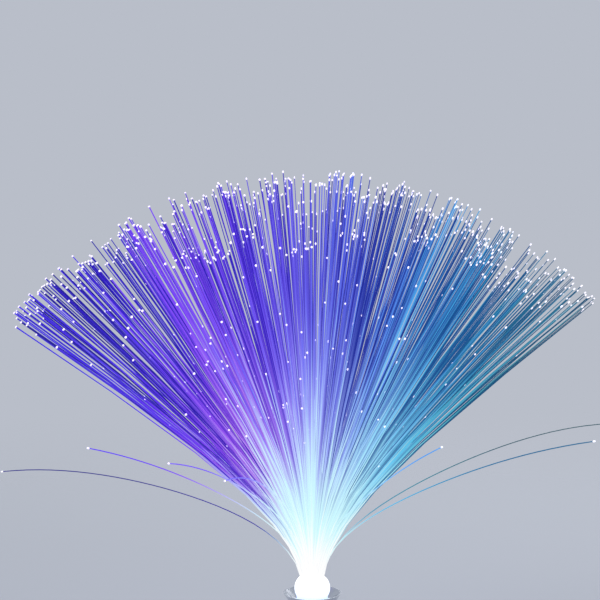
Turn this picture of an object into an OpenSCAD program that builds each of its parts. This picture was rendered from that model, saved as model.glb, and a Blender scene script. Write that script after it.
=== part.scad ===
// Table-top fibre optic lamp, battery powered.
// A spray of clear fibres is gathered in a metal sleeve that plugs into the top of a bell-shaped base.
// Three coloured diodes in the base light the polished end of the bundle.
// Millimetres, +Z up, origin on the table under the middle of the base, +Y to the back.

/* [Fibre spray] */
// Length of the longest fibre above the collar
spray_len = 195; // [150:5:215]
// Number of fibres in the spray, without the stray ones
fiber_count = 330; // [300:6:342]
// Thickness of one fibre
fiber_d = 0.42; // [0.34:0.02:0.42]
// Diameter of the gathered bundle
bundle_d = 11.8; // [11.8:0.1:12.6]
// Lean of the outermost fibres from upright, in degrees
spray_lean = 53; // [40:1:60]
// Length over which a fibre bends away from the bundle
bend_len = 22; // [16:1:30]
// How much further than the outermost fibres the stray ones lean, in degrees
stray_lean = 8; // [6:1:14]
// Number of clumps in which fibres stick together
clump_count = 92; // [70:2:120]
// Part of the way that a fibre is drawn to the middle of its clump
clump_pull = 0.6; // [0:0.05:0.7]
// Share of the fibres that were cut much too short
short_share = 0.1; // [0:0.01:0.2]

/* [Collar and sleeve] */
// Wall of the metal sleeve round the bundle
sleeve_wall = 0.6; // [0.4:0.1:0.8]
// Length of the sleeve that goes down into the base
plug_len = 44; // [42:1:48]
// Widest diameter of the ball collar
ball_d = 17; // [16.4:0.2:19]
// Height of the whole ball that the collar is cut from
ball_h = 14.2; // [13:0.2:15]
// Height of the collar's flat top above its widest place
ball_crown = 4.8; // [4:0.1:5.2]

/* [Cup] */
// Diameter of the flared lip
lip_d = 28; // [26:0.5:32]
// Diameter of the cup's waist
waist_d = 20; // [19:0.5:22]
// Height of the cup from waist to lip
cup_h = 11; // [9:0.5:14]
// Depth of the dish that the collar stands in
dish_depth = 4; // [3:0.25:5]

/* [Base] */
// Diameter of the base
base_d = 92; // [90:1:104]
// Height of the tub that the base stands on
tub_h = 22; // [21:0.5:28]
// Height of the bell above the tub
bell_h = 80; // [76:1:100]
// Diameter of the bell's top
neck_d = 22; // [22:0.5:26]
// Wall of the mouldings
wall = 2.2; // [1.8:0.1:2.6]
// Thickness of the tub's floor
floor_t = 3.6; // [3.2:0.1:4.2]
// Height of the ring between bell and cup
ring_h = 3; // [2:0.5:5]
// Height of the rubber feet below the tub
foot_h = 2; // [1.5:0.25:4]
// Diameter of a rubber foot
foot_d = 9; // [6:0.5:10]

/* [Battery bay] */
// Diameter of a cell
cell_d = 14.2; // [13.6:0.1:14.5]
// Length of a cell with its button
cell_len = 50; // [48:0.5:51]
// Length of a contact spring in place
spring_len = 5.6; // [4.5:0.1:6.5]
// Thickness of the battery door
door_t = 2; // [1.8:0.1:2.2]
// Radius of the door's hinge pins
pin_r = 0.8; // [0.6:0.05:0.9]

/* [Light and switch] */
// Diameter of a light diode
led_d = 5; // [3:0.5:5]
// Height of a light diode above the board
led_h = 8.6; // [7:0.2:9]
// Radius of the round circuit board
board_r = 15; // [14.5:0.1:15.6]
// Thickness of the circuit board
board_t = 1.6; // [1:0.2:2]
// Travel of the slide switch
switch_travel = 3; // [2:0.25:3.5]

/* [Hidden] */
$fn = 96;
arc_fn = 480; // for the wide arcs of bell and cup

// Clearances
slide_gap = 0.15;  // sleeve in its socket
fit_gap = 0.05;    // pieces pushed or screwed together, and the door's pins
seat_gap = 0.2;    // pieces that rest on each other with play
door_gap = 0.3;    // round the battery door
cut = 1;           // how far a cut runs past the face it opens
overlap = 0.1;     // how far shapes of one moulding run into each other

// Heights, from the table up
z_floor = foot_h;
z_tub_top = z_floor + tub_h;
z_bell_top = z_tub_top + bell_h;
z_waist = z_bell_top + ring_h;
z_lip = z_waist + cup_h;
z_seat = z_lip - dish_depth;
ball_lift = 2.2;
z_ball = z_lip + ball_lift;
z_neck = z_ball + ball_crown;
z_plug_end = z_seat - plug_len;
tube_overrun = 3.4;
z_tube_end = z_plug_end - tube_overrun;
led_rise = 0.6;
z_board_top = z_tube_end + led_rise - led_h;
z_board = z_board_top - board_t;

/* ---------- Fibres ---------- */

bundle_r = bundle_d / 2;
sleeve_r = bundle_r + sleeve_wall;
slice_h = 3;
sink = 0.05;
strand_gap = 0.02;
stray_inset = 0.1;
stray_place = bundle_r - fiber_d / 2 - stray_inset;
rim_r = stray_place - fiber_d / 2 - strand_gap;
root_reach = rim_r - fiber_d / 2 - strand_gap;
core_count = 48;
core_r = root_reach * sqrt(core_count / fiber_count);
tufts = 6;
golden_angle = 137.508;
path_steps = 16;
neck_share = 0.2;  // part of its full lean that a fibre has where it leaves the collar
clump_len = 45;    // length over which the clumps draw together
clump_reach = 0.985;
least_cut = 0.32;  // fibres are cut unevenly, by up to this part of their length
most_cut = 0.6;    // and those that were cut much too short, by up to this part
lean_left = 3;     // how much further the spray leans to -X than to the front
spray_droop = 2;
bend_places = [0, 0.075, 0.26] * spray_len;
stray_bends = [0.45, 0.7, 1]; // the stray fibres' further ones, in shares of their length
clumps = [for (k = [0:clump_count - 1]) clump_reach * sunflower(k, clump_count)];
// Stray fibres: azimuth, lean beyond that of the least leaning one, droop, share of the spray's length
strays = [[34, 11, 22, 1.03], [72, 2, 8, 0.97], [100, 7, 14, 0.945], [128, 4, 10, 0.95], [158, 15, 24, 0.91],
    [232, 0, 13, 0.9], [249, 0, 17, 0.95], [258, 0, 23, 0.98], [290, 0, 8, 0.9], [312, 1, 14, 1]];

function total(v) = [for (x = v) 1] * v;
function unit(v) = v / norm(v);

// Place k of count places that are strewn evenly over the unit circle, from the middle out
function sunflower(k, count) = sqrt((k + 0.5) / count) * [cos(k * golden_angle), sin(k * golden_angle)];
function angle_of(k) = k * golden_angle - 360 * floor(k * golden_angle / 360);

// A number between 0 and 1 that looks like chance, for fibre k and purpose n
function chance(k, n) = let (v = 43758.5 * sin(127.1 * k + 311.7 * n)) v - floor(v);

// Middle of the clump that is nearest to the place p
function clump_of(p) = let (away = [for (c = clumps) norm(c - p)]) clumps[search(min(away), away)[0]];

// Full lean, as a level vector in degrees, of a fibre drawn to the place p in the unit circle
function lean_to(p) = (spray_lean - lean_left * unit(p).x) * p;

// Length of fibre k; those on the right are cut a little more unevenly
function length_of(k) = let (right = max(0, sunflower(k, fiber_count).x), short = chance(k, 2) / short_share)
    spray_len * (1 - (short < 1 ? most_cut * (1 - short / 2) : least_cut * pow(chance(k, 1), 5 - 2 * right)));

// Direction of a fibre at length s, for its lean, the shift of the lean by its clump and the tip's droop
function heading(s, lean, shift, droop, len) = let (
    level = lean * (neck_share + (1 - neck_share) * (1 - exp(-s / bend_len)))
        + shift * (1 - exp(-pow(s / clump_len, 2))),
    tilt = norm(level) + droop * pow(s / len, 2))
    [unit(level).x * sin(tilt), unit(level).y * sin(tilt), cos(tilt)];

// Way of a fibre from its root to length s
function travel(s, lean, shift, droop, len) = let (d = s / path_steps)
    d * total([for (i = [0.5:path_steps - 0.5]) heading(i * d, lean, shift, droop, len)]);

// One ring of three points round the place p on a fibre: level at the root, else square to the heading h
function fiber_ring(p, h, level) = let (
    side = unit([-h.y, h.x, 0]),
    out = level ? unit([h.x, h.y, 0]) : cross(side, h))
    [for (j = [0:2]) p + fiber_d / 2 * (out * cos(120 * j) + side * sin(120 * j))];

// A three-sided strand from its root on the bundle's top, with a ring at each length in places
module strand(root, lean, shift, droop, len, places) {
    last = len(places) - 1;
    tube = [for (i = [0:last]) let (
        foot = [root.x, root.y, z_neck - (i == 0 ? sink : 0)],
        place = foot + travel(places[i], lean, shift, droop, len))
        each fiber_ring(place, heading(places[i], lean, shift, droop, len), i == 0)];
    sides = [for (i = [0:last - 1], j = [0:2]) let (a = 3 * i + j, b = 3 * i + (j + 1) % 3)
        each [[a, a + 3, b], [b, a + 3, b + 3]]];
    end = 3 * last;
    polyhedron(tube, concat([[0, 1, 2]], sides, [[end, end + 2, end + 1]]));
}

// Fibre k starts further out the higher k is. Its clump draws it aside only where there is room, and all
// fibres bend at the same lengths, so none cross.
module spray_strand(k) {
    p = sunflower(k, fiber_count);
    lean = lean_to(p);
    len = length_of(k);
    strand(root_reach * p, lean, lean_to(p + clump_pull * (clump_of(p) - p)) - lean, spray_droop, len,
           concat(bend_places, len));
}

module fiber_core() {
    color("#8a7bf0") {
        translate([0, 0, z_neck - slice_h]) cylinder(r = core_r, h = slice_h);
        for (k = [0:core_count - 1]) spray_strand(k);
    }
}

// Tuft n holds the fibres of one sixth of the ring round the core, with its slice of the bundle
module fiber_tuft(n) {
    from = (n - 1) * 360 / tufts;
    to = n * 360 / tufts;
    color(n == 1 || n == tufts ? "#3f8fe0" : "#5a3be6") {
        translate([0, 0, z_neck - slice_h]) rotate(from) rotate_extrude(angle = to - from)
            translate([core_r, 0]) square([rim_r - core_r, slice_h]);
        for (k = [core_count:fiber_count - 1]) if (angle_of(k) >= from && angle_of(k) < to) spray_strand(k);
    }
}

// Stray fibres stand on the bundle's rim and hang lower than the spray
module stray_fibers() {
    color("#6a5cf0") {
        translate([0, 0, z_neck - slice_h]) ring(bundle_r, rim_r, slice_h);
        for (stray = strays) {
            out = [cos(stray[0]), sin(stray[0])];
            len = stray[3] * spray_len;
            strand(stray_place * out, (spray_lean + stray_lean + stray[1]) * out, [0, 0], stray[2], len,
                   concat(bend_places, stray_bends * len));
        }
    }
}

// The potted fibres inside the sleeve, polished at the lower end
module bundle_root() {
    color("#e8f4ff") translate([0, 0, z_plug_end]) cylinder(r = bundle_r, h = z_neck - slice_h - z_plug_end);
}

/* ---------- Collar and sleeve ---------- */

bore_r = sleeve_r + slide_gap;
sleeve_top = z_neck - 1;
skirt_wall = 0.8;
skirt_r = bore_r + skirt_wall;

module ring(r_out, r_in, h) {
    difference() {
        cylinder(r = r_out, h = h);
        translate([0, 0, -cut]) cylinder(r = r_in, h = h + 2 * cut);
    }
}

module sleeve() {
    color("#c8ccd2") translate([0, 0, z_plug_end])
        ring(sleeve_r, bundle_r + fit_gap, sleeve_top - z_plug_end);
}

// A bead with round flanks, a flat top where the fibres leave it, and a short skirt that stands in the dish
module ball_collar() {
    round_r = ball_h / 2;
    centre = ball_d / 2 - round_r;
    color("#f4fbff") difference() {
        union() {
            translate([0, 0, z_ball]) rotate_extrude() intersection() {
                union() {
                    translate([centre, 0]) circle(r = round_r);
                    translate([0, -round_r]) square([centre, ball_h]);
                }
                translate([0, z_seat + cut - z_ball]) square([ball_d, z_neck - z_seat - cut]);
            }
            translate([0, 0, z_seat]) cylinder(r = skirt_r, h = z_ball - z_seat);
        }
        translate([0, 0, z_seat - cut]) cylinder(r = sleeve_r + fit_gap, h = sleeve_top - z_seat + cut);
        translate([0, 0, z_seat]) cylinder(r = bundle_r + fit_gap, h = z_neck);
    }
}

/* ---------- Cup, ring and nut ---------- */

tube_wall = 1.85;
tube_r = bore_r + tube_wall;
waist_r = waist_d / 2;
lip_r = lip_d / 2;
lip_t = 0.8;
flare = lip_r - waist_r;
flare_arc_r = (flare * flare + cup_h * cup_h) / (2 * flare);

// The flared cup has the socket tube moulded in one piece with it
module socket_cup() {
    color("#d9dce1") difference() {
        union() {
            translate([0, 0, z_waist]) rotate_extrude() difference() {
                square([lip_r, cup_h]);
                translate([waist_r + flare_arc_r, 0]) circle(r = flare_arc_r, $fn = arc_fn);
            }
            translate([0, 0, z_tube_end]) cylinder(r = tube_r, h = z_waist - z_tube_end + cut);
        }
        translate([0, 0, z_seat]) cylinder(r1 = skirt_r + 1, r2 = lip_r - lip_t, h = dish_depth + 0.01);
        translate([0, 0, z_tube_end - cut]) cylinder(r = bore_r, h = z_lip - z_tube_end + 2 * cut);
    }
}

// A rounded ring trims the joint between bell and cup
module neck_ring() {
    bead = ring_h / 2;
    color("#22242a") translate([0, 0, z_bell_top]) difference() {
        rotate_extrude() {
            square([neck_r, ring_h]);
            translate([neck_r, bead]) circle(r = bead);
        }
        translate([0, 0, -cut]) cylinder(r = tube_r + fit_gap, h = ring_h + 2 * cut);
    }
}

// The nut on the tube pulls the cup down onto the bell
module socket_nut() {
    color("#f0efe9") translate([0, 0, z_nut]) difference() {
        cylinder(r = nut_r, h = nut_h);
        translate([0, 0, -cut]) cylinder(r = tube_r + fit_gap, h = nut_h + 2 * cut);
        for (i = [1:flutes]) rotate(i * 360 / flutes) translate([nut_r + flute_r / 2, 0, -cut])
            cylinder(r = flute_r, h = nut_h + 2 * cut);
    }
}

/* ---------- Bell ---------- */

base_r = base_d / 2;
neck_r = neck_d / 2;
foot_step = 2.5;
bell_foot_r = base_r - foot_step;
bell_drop = bell_foot_r - neck_r;
bell_arc_r = (bell_drop * bell_drop + bell_h * bell_h) / (2 * bell_drop);
bell_axis_x = neck_r + bell_arc_r;
throat_r = tube_r + seat_gap;
throat_h = 19;
nut_h = 5;
flutes = 12;
flute_r = 0.9;
z_nut = z_bell_top - throat_h - nut_h;
nut_r = bell_inside(z_nut + nut_h) - 0.35;
ledge_h = 2;
ledge_in_r = base_r - 5;
tongue_r = ledge_in_r - seat_gap;
tongue_t = 1.2;
pillar_r = 4.4;
pillar_angle = 66;
pillar_cap = 4;
pillar_place = tongue_r - tongue_t - pillar_r + 0.3;
z_pillar_top = z_tub_top - ledge_h;
screw_r = 1.35;
screw_bite = 6.6;
screw_room = 0.5; // left over at the end of a screw's hole

// Inside radius of the bell at the height z
function bell_inside(z) = bell_axis_x - sqrt(pow(bell_arc_r + wall, 2) - pow(z_bell_top - z, 2));

module at_pillars() {
    for (a = [pillar_angle, 180 - pillar_angle, 180 + pillar_angle, -pillar_angle])
        rotate(a) translate([pillar_place, 0, 0]) children();
}

// Solid of revolution under a hollow arc: h high, with the arc grown inwards by t
module bell_form(h, t) {
    translate([0, 0, z_tub_top]) rotate_extrude() difference() {
        square([bell_foot_r, h]);
        translate([bell_axis_x, bell_h]) circle(r = bell_arc_r + t, $fn = arc_fn);
    }
}

module bell_shell() {
    color("#c3c8cf") difference() {
        union() {
            difference() {
                bell_form(bell_h, 0);
                bell_form(bell_h - throat_h, wall);
            }
            intersection() {
                bell_form(bell_h, 0);
                translate([0, 0, z_tub_top]) at_pillars() cylinder(r = pillar_r, h = screw_bite + pillar_cap);
            }
            translate([0, 0, z_pillar_top]) ring(tongue_r, tongue_r - tongue_t, ledge_h + 2);
            translate([0, 0, z_pillar_top]) at_pillars() cylinder(r = pillar_r, h = ledge_h + overlap);
        }
        translate([0, 0, z_bell_top - throat_h - cut]) cylinder(r = throat_r, h = throat_h + 2 * cut);
        translate([0, 0, z_pillar_top - cut]) at_pillars()
            cylinder(r = screw_r + fit_gap, h = screw_bite + cut + screw_room);
    }
}

/* ---------- Tub ---------- */

tub_in_r = base_r - wall - 0.2;
z_floor_top = z_floor + floor_t;
tub_edge_r = 1.6;
screw_head_r = 2.8;
screw_head_h = 1.8;
head_pocket_r = screw_head_r + 0.3;
z_screw_seat = z_floor_top + 1.4;
foot_r = foot_d / 2;
foot_place = base_r - foot_r - 4;
foot_recess = 0.6;
notch_r = 6;

// Rounded disc that the tub is cut from
module tub_solid() {
    e = tub_edge_r;
    translate([0, 0, z_floor]) rotate_extrude() {
        square([base_r - e, tub_h]);
        translate([0, e]) square([base_r, tub_h - 2 * e]);
        translate([base_r - e, e]) circle(r = e);
        translate([base_r - e, tub_h - e]) circle(r = e);
    }
}

// Box of the width w about X = 0, from y0 to y1, that stands h high on the height z
module slab(w, y0, y1, z, h) {
    translate([-w / 2, y0, z]) cube([w, y1 - y0, h]);
}

module tub_walls() {
    difference() {
        tub_solid();
        translate([0, 0, z_floor_top]) cylinder(r = tub_in_r, h = tub_h - floor_t - ledge_h);
        translate([0, 0, z_floor_top]) cylinder(r = ledge_in_r, h = tub_h);
    }
    slab(bay_len + 2 * bay_wall, -bay_edge, bay_edge, z_bay, z_bay_top + bay_roof - z_bay);
    translate([0, 0, z_floor_top - overlap]) at_pillars()
        cylinder(r = pillar_r, h = z_pillar_top - z_floor_top + overlap);
    slab(switch_size[0] + 3, switch_back - cradle_wall, tub_in_r + 2 * overlap, z_floor_top - overlap,
         switch_z + switch_size[2] / 2 - z_floor_top);
}

module door_opening() {
    slab(bay_len, -bay_w / 2, bay_w / 2, z_bay - cut, z_bay_top - z_bay + cut);
    slab(2 * (door_half + door_gap), hinge_y - door_t / 2 - door_gap, door_end + door_gap,
         z_floor - cut, z_bay - z_floor + cut);
    translate([0, door_end, z_floor - cut]) cylinder(r = notch_r, h = cut + floor_t / 2);
    translate([-pin_end - door_gap, hinge_y, hinge_z]) rotate([0, 90, 0])
        cylinder(r = pin_r + fit_gap, h = 2 * (pin_end + door_gap));
    for (c = tab_places) translate([c[0] - plate_t, c[1] - tab_w / 2 - 0.8, z_bay_top - cut])
        cube([2 * plate_t, tab_w + 1.6, bay_roof + 2 * cut]);
}

module switch_opening() {
    play = 0.1;
    translate([0, 0, switch_z]) {
        slab(switch_size[0] + 2 * play, switch_back - play, switch_face + play,
             -switch_size[2] / 2 - play, switch_size[2] + 2 * play);
        slab(2 * pin_pitch + 2, switch_back - cradle_wall - cut, switch_back, -1.5, switch_size[2]);
        slab(switch_travel + stem_size[0] + 0.8, switch_face - cut, base_r + cut, -stem_size[1] / 2 - 0.3,
             stem_size[1] + 0.6);
        slab(switch_travel + cap_size[0] + 2, pad_y, base_r + cut, -cap_size[1] / 2 - 0.7, cap_size[1] + 1.4);
    }
}

module base_tub() {
    color("#17181c") difference() {
        tub_walls();
        door_opening();
        switch_opening();
        at_pillars() {
            translate([0, 0, z_floor - cut]) cylinder(r = head_pocket_r, h = z_screw_seat - z_floor + cut);
            translate([0, 0, z_floor - cut]) cylinder(r = screw_r + 0.25, h = tub_h);
        }
        for (a = [0:90:270]) rotate(a) translate([foot_place, 0, z_floor - cut])
            cylinder(r = foot_r + fit_gap, h = cut + foot_recess);
    }
}

module tub_screws() {
    slot_w = 0.7;
    color("#9ea3aa") at_pillars() {
        translate([0, 0, z_screw_seat]) cylinder(r = screw_r, h = z_pillar_top + screw_bite - z_screw_seat);
        difference() {
            translate([0, 0, z_screw_seat - screw_head_h]) cylinder(r = screw_head_r, h = screw_head_h);
            for (a = [0, 90]) rotate(a)
                slab(3.2, -slot_w / 2, slot_w / 2, z_screw_seat - screw_head_h - cut, cut + 1);
        }
    }
}

module rubber_feet() {
    bevel = 0.6;
    color("#2a2a2c") for (a = [0:90:270]) rotate(a) translate([foot_place, 0, 0]) {
        cylinder(r1 = foot_r - bevel, r2 = foot_r, h = bevel);
        translate([0, 0, bevel]) cylinder(r = foot_r, h = foot_h + foot_recess - bevel);
    }
}

/* ---------- Light ---------- */

holder_r = tube_r + 2;
holder_grip = 8;
chamber_r = bore_r + 0.6;
flange_r = board_r + 0.4;
flange_t = 2;
led_circle = led_d / 2 / cos(30) + 0.5;
board_screw_place = board_r - 2.6;
board_screw_r = 1;
board_screw_bite = 4;
boss_r = 2.3;
boss_h = board_screw_bite + 1.4;

module at_board_screws() {
    for (x = [-board_screw_place, board_screw_place]) translate([x, 0, 0]) children();
}

// White holder on the tube's end: it keeps the board in place and leads the light to the bundle
module led_holder() {
    color("#f2f1ec") difference() {
        translate([0, 0, z_board_top]) {
            cylinder(r = holder_r, h = z_tube_end + holder_grip - z_board_top);
            cylinder(r = flange_r, h = flange_t);
            at_board_screws() cylinder(r = boss_r, h = boss_h);
        }
        translate([0, 0, z_board_top - cut]) cylinder(r = chamber_r, h = z_tube_end - z_board_top + 2 * cut);
        translate([0, 0, z_tube_end]) cylinder(r = tube_r + fit_gap, h = holder_grip + cut);
        translate([0, 0, z_board_top - cut]) at_board_screws()
            cylinder(r = board_screw_r + fit_gap, h = board_screw_bite + cut + screw_room);
    }
}

module led_board() {
    color("#1f7a3d") translate([0, 0, z_board]) difference() {
        cylinder(r = board_r, h = board_t);
        translate([0, 0, -cut]) at_board_screws() cylinder(r = board_screw_r + 0.15, h = board_t + 2 * cut);
    }
}

// A domed diode with its wider base flange
module led(angle, tint) {
    r = led_d / 2;
    flange_h = 1;
    color(tint) rotate(angle) translate([led_circle, 0, z_board_top]) {
        cylinder(r = 1.16 * r, h = flange_h);
        cylinder(r = r, h = led_h - r);
        translate([0, 0, led_h - r]) intersection() {
            sphere(r = r);
            cylinder(r = r, h = r);
        }
    }
}

module driver_chip() {
    chip = [5, 4, 1.6];
    chip_gap = 0.1;
    leg_pitch = 1.27;
    leg_len = 1;
    leg_w = 0.4;
    leg_t = 0.3;
    color("#202124") translate([0, 0, z_board]) {
        slab(chip.x, -chip.y / 2, chip.y / 2, -chip.z, chip.z - chip_gap);
        for (turn = [0, 180], i = [-1.5:1.5]) rotate(turn) translate([i * leg_pitch, chip.y / 2, 0])
            slab(leg_w, 0, leg_len, -leg_t, leg_t);
    }
}

module led_resistors() {
    resistor = [1.6, 3.2, 0.7];
    pitch = 3.4;
    from_y = 5.5;
    color("#3c4a63") for (i = [-1:1]) translate([i * pitch, from_y, z_board])
        slab(resistor.x, 0, resistor.y, -resistor.z, resistor.z);
}

module board_screws() {
    head_r = 1.9;
    head_h = 1.3;
    color("#b9bdc2") translate([0, 0, z_board - head_h]) at_board_screws() {
        cylinder(r = head_r, h = head_h);
        cylinder(r = board_screw_r, h = head_h + board_t + board_screw_bite);
    }
}

/* ---------- Cells and contacts ---------- */

cells = 3; // side by side, lying along X
cell_r = cell_d / 2;
cell_pitch = cell_d + 0.8;
plate_t = 0.5;
spring_play = 0.1;
bay_len = 2 * plate_t + cell_len + spring_len + spring_play;
bay_w = cells * cell_pitch + 0.8;
bay_wall = 1.6;
bay_edge = bay_w / 2 + bay_wall;
bay_end = bay_len / 2 - plate_t;
bay_roof = 1.4;
z_door = z_floor + 0.2;
z_door_top = z_door + door_t;
z_bay = z_door_top + seat_gap;
z_cell = z_bay + 0.1 + cell_r;
z_bay_top = z_cell + cell_r + 0.3;
tab_w = 2.4;
tab_top = z_bay_top + bay_roof + 2.8;
// Where the end plates' tabs come up through the bay's roof: x, y of minus and plus
tab_places = [[-bay_end - plate_t / 2, cell_y(3)], [bay_end + plate_t / 2, cell_y(1)]];

// Cell n of three; the middle one points the other way
function cell_y(n) = (n - 2) * cell_pitch;
module at_cell(n) {
    translate([0, cell_y(n), z_cell]) rotate(n == 2 ? 180 : 0) children();
}

module cell(n) {
    button_h = 1.2;
    button_r = 2.7;
    color("#8c6d2a") at_cell(n) translate([bay_end - cell_len, 0, 0]) rotate([0, 90, 0]) {
        cylinder(r = cell_r, h = cell_len - button_h);
        cylinder(r = button_r, h = cell_len);
    }
}

// An upright plate against the bay's end at x, from cell number first to cell number last
module contact_plate(x, first, last) {
    half = cell_r - 1.2;
    translate([x - plate_t / 2, cell_y(first) - half, z_bay + 1])
        cube([plate_t, cell_y(last) - cell_y(first) + 2 * half, z_bay_top - z_bay - 1.6]);
}

module contact_plates() {
    x = bay_end + plate_t / 2;
    color("#d0d3d6") {
        contact_plate(-x, 1, 2);
        contact_plate(-x, 3, 3);
        contact_plate(x, 1, 1);
        contact_plate(x, 2, 3);
        for (c = tab_places) translate([c[0] - plate_t / 2, c[1] - tab_w / 2, z_bay_top - 1.2])
            cube([plate_t, tab_w, tab_top - z_bay_top + 1.2]);
    }
}

// Conical compression springs along X
spring_wire = 0.7;
spring_turns = 3;
spring_steps = 8;
spring_sides = 6;
spring_big_r = 4.4;
spring_small_r = 2.6;
spring_line = [for (i = [0:spring_turns * spring_steps]) spring_point(i / spring_steps)];

// Middle of the wire after t turns
function spring_point(t) = let (r = spring_big_r + (spring_small_r - spring_big_r) * t / spring_turns)
    [spring_wire / 2 + (spring_len - spring_wire) * t / spring_turns, r * cos(360 * t), r * sin(360 * t)];

least_gap = min([for (i = [0:len(spring_line) - 1], j = [0:len(spring_line) - 1])
    if (j >= i + spring_steps / 2) norm(spring_line[j] - spring_line[i])]) - spring_wire;
echo(least_gap_between_spring_turns = least_gap);

// Triangles between rings of m points each, with both ends closed; ring 0 is the first
function tube_faces(rings, m) = concat(
    [[for (j = [m - 1:-1:0]) j]],
    [for (i = [0:rings - 2], j = [0:m - 1]) let (a = i * m + j, b = i * m + (j + 1) % m)
        each [[a, b, a + m], [b, b + m, a + m]]],
    [[for (j = [0:m - 1]) (rings - 1) * m + j]]);

module contact_spring() {
    points = [for (i = [0:len(spring_line) - 1]) let (turn = 360 * i / spring_steps)
        for (j = [0:spring_sides - 1]) let (q = 360 * j / spring_sides)
            spring_line[i] + spring_wire / 2 * [sin(q), cos(q) * cos(turn), cos(q) * sin(turn)]];
    polyhedron(points, tube_faces(len(spring_line), spring_sides));
}

module contact_springs() {
    color("#c9ccd0") for (n = [1:cells]) at_cell(n) translate([-bay_end, 0, 0]) contact_spring();
}

/* ---------- Switch ---------- */

switch_size = [12, 5, 5.6];
switch_z = z_floor + 11;
switch_face = tub_in_r - 0.5;
switch_back = switch_face - switch_size[1];
cradle_wall = 1.4;
stem_size = [2.4, 3];
cap_size = [5, 3.6];
pad_y = base_r - 1.3;
pin_pitch = 3;
pin_w = 0.8;
pin_t = 0.5;
pin_y = switch_back - cradle_wall - 1.2;

module switch_body() {
    color("#b4b8bd") translate([0, 0, switch_z]) {
        difference() {
            slab(switch_size[0], switch_back, switch_face, -switch_size[2] / 2, switch_size[2]);
            slab(switch_travel + stem_size[0] + 0.6, switch_face - 1.5, switch_face + cut,
                 -stem_size[1] / 2 - 0.2, stem_size[1] + 0.4);
        }
        for (x = [-pin_pitch, 0, pin_pitch]) translate([x, 0, 0])
            slab(pin_w, pin_y, switch_back + overlap, -pin_t / 2, pin_t);
    }
}

// The knob stands at the lit end of its travel, +X, with three grip grooves in its cap
module switch_knob() {
    cap_out = base_r + 1.2;
    groove = 0.5;
    groove_pitch = 1.2;
    color("#f2f3f5") translate([switch_travel / 2, 0, switch_z]) {
        slab(stem_size[0], switch_face - 1.2, pad_y + 0.3, -stem_size[1] / 2, stem_size[1]);
        difference() {
            slab(cap_size[0], pad_y + 0.15, cap_out, -cap_size[1] / 2, cap_size[1]);
            for (i = [-1:1]) translate([i * groove_pitch, 0, 0])
                slab(groove, cap_out - groove, cap_out + cut, -cap_size[1], 2 * cap_size[1]);
        }
    }
}

/* ---------- Leads ---------- */

lead_d = 1.2;
lead_sides = 8;

// Point a share f of the way from point i of a route to the next, on a smooth curve through them all
function on_curve(p, i, f) = let (
    a = p[max(i - 1, 0)], b = p[i], c = p[i + 1], d = p[min(i + 2, len(p) - 1)])
    0.5 * (2 * b + (c - a) * f + (2 * a - 5 * b + 4 * c - d) * pow(f, 2)
        + (3 * b - a - 3 * c + d) * pow(f, 3));
function smooth(p) = concat([for (i = [0:len(p) - 2], f = [0:0.25:0.75]) on_curve(p, i, f)], [p[len(p) - 1]]);

// A lead along a route; its ends stand square on what they meet
module lead(route) {
    p = smooth(route);
    n = len(p);
    last = len(route) - 1;
    start = route[1] - route[0];
    end = route[last] - route[last - 1];
    rings = [for (i = [0:n - 1]) let (
        t = unit(i == 0 ? start : i == n - 1 ? end : p[i + 1] - p[i - 1]),
        u = unit(cross(t, [1, 1, 0])),
        v = cross(t, u))
        for (j = [0:lead_sides - 1]) let (q = 360 * j / lead_sides)
            p[i] + lead_d / 2 * (u * cos(q) + v * sin(q))];
    polyhedron(rings, tube_faces(n, lead_sides));
}

minus_tab = [tab_places[0][0], tab_places[0][1], tab_top];
plus_tab = [tab_places[1][0], tab_places[1][1], tab_top];
above_tab = [0, 0, 1.5];
switch_pin = [0, pin_y, switch_z];
behind_pin = [0, -2, 0];
back_gap_y = (bay_edge + pin_y) / 2; // half way between the battery bay and the switch
over_bay = z_bay_top + bay_roof + 2 * lead_d;
lead_rise = z_board - over_bay;
pad_x = 0.6 * board_r;
right_pad = [pad_x, 4, z_board];
left_pad = [-pad_x, 4, z_board];
below_pad = [0, 0, -2];

// From the plus tab, over the bay and down its back, to the switch
module lead_battery() {
    color("#c22020") lead([plus_tab, plus_tab + above_tab, plus_tab + [-0.8, 3, 3.4],
        [0.92 * bay_end, 0, over_bay + lead_d], [0.65 * bay_end, bay_edge / 2, over_bay],
        [0.36 * bay_end, 0.85 * bay_edge, over_bay],
        [2 * pin_pitch, back_gap_y - lead_d, z_bay_top + bay_roof],
        [1.3 * pin_pitch, back_gap_y + lead_d, switch_z + 3],
        switch_pin + [pin_pitch, 0, 0] + behind_pin, switch_pin + [pin_pitch, 0, 0]]);
}

// From the switch up inside the bell to the board
module lead_switch() {
    color("#d98a1c") lead([switch_pin, switch_pin + behind_pin, [0.1 * pad_x, back_gap_y, over_bay],
        [0.6 * pad_x, 0.7 * back_gap_y, over_bay + 0.25 * lead_rise],
        [pad_x, 0.45 * back_gap_y, over_bay + 0.5 * lead_rise],
        [pad_x, 0.25 * back_gap_y, over_bay + 0.77 * lead_rise],
        right_pad + below_pad, right_pad]);
}

// From the board back to the minus tab
module lead_return() {
    color("#1c1c1e") lead([minus_tab, minus_tab + above_tab, minus_tab + [1, -3, 4],
        [-0.8 * bay_end, 6, over_bay + 0.3 * lead_rise], [-1.75 * pad_x, 3, over_bay + 0.53 * lead_rise],
        [-1.2 * pad_x, 3, over_bay + 0.77 * lead_rise], left_pad + below_pad, left_pad]);
}

/* ---------- Battery door ---------- */

hinge_y = -(bay_edge + 1);
hinge_z = z_door + door_t / 2;
door_end = bay_edge + 0.4;
door_half = bay_len / 2 + bay_wall + 0.1;
pin_end = door_half + 2.4;

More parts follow.
